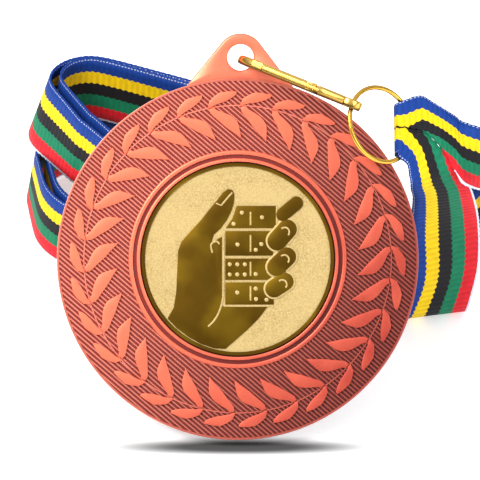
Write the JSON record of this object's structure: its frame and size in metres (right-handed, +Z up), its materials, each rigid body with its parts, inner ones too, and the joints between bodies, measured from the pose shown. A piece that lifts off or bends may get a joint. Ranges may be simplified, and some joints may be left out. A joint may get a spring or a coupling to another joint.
{
  "type": "medal on a neck ribbon",
  "caption": "Round cast award medal with laurel wreath and set-in emblem, hung by a gated snap clip and wire ring from a striped neck ribbon wound behind it.",
  "frame": {"origin": "middle of the whole part's footprint, on the surface it stands on", "axes": "+X right as the medal is read, +Y away from its face towards the wound ribbon, +Z up"},
  "size_m": [0.0704, 0.0692, 0.0473],
  "materials": {
    "copper_casting": "satin",
    "gold_emblem": "satin",
    "adhesive": "matte",
    "gold_plate": "polished",
    "ribbon": "woven stripes",
    "thread": "matte"
  },
  "bodies": {
    "ribbon": {"ribbon_hem": "ribbon", "hem_stitching": "thread", "ribbon_upper_strand": "ribbon", "ribbon_lower_strand": "ribbon", "ribbon_upper_tier": "ribbon", "ribbon_lower_tier": "ribbon"},
    "ring": {"ring": "gold_plate"},
    "clip": {"clip_body": "gold_plate", "gate_pin": "gold_plate"},
    "gate": {"clip_gate": "gold_plate"},
    "medal": {"medal_casting": "copper_casting", "emblem_disc": "gold_emblem", "emblem_adhesive": "adhesive"}
  },
  "joints": [
    {"name": "ring_flap", "type": "hinge", "parent": "ribbon", "child": "ring", "pos_m": [0.0165, -0.00845, 0.0356], "axis": [-0.0128, 0.7739, 0.6332], "range_deg": [0, 25]},
    {"name": "clip_pivot", "type": "hinge", "parent": "ring", "child": "clip", "pos_m": [0.00967, -0.00994, 0.04076], "axis": [-0.324, -0.8617, -0.3906], "range_deg": [-10, 0]},
    {"name": "gate_open", "type": "hinge", "parent": "clip", "child": "gate", "pos_m": [0.00435, -0.01057, 0.04382], "axis": [-0.3746, -0.5318, -0.7595], "range_deg": [0, 12], "stiffness_Nm_per_rad": 0.0002, "springref_deg": -11.46},
    {"name": "medal_swing", "type": "hinge", "parent": "clip", "child": "medal", "pos_m": [-0.00578, -0.00233, 0.04335], "axis": [0, -0.8192, 0.5736], "range_deg": [-35, 0]}
  ]
}
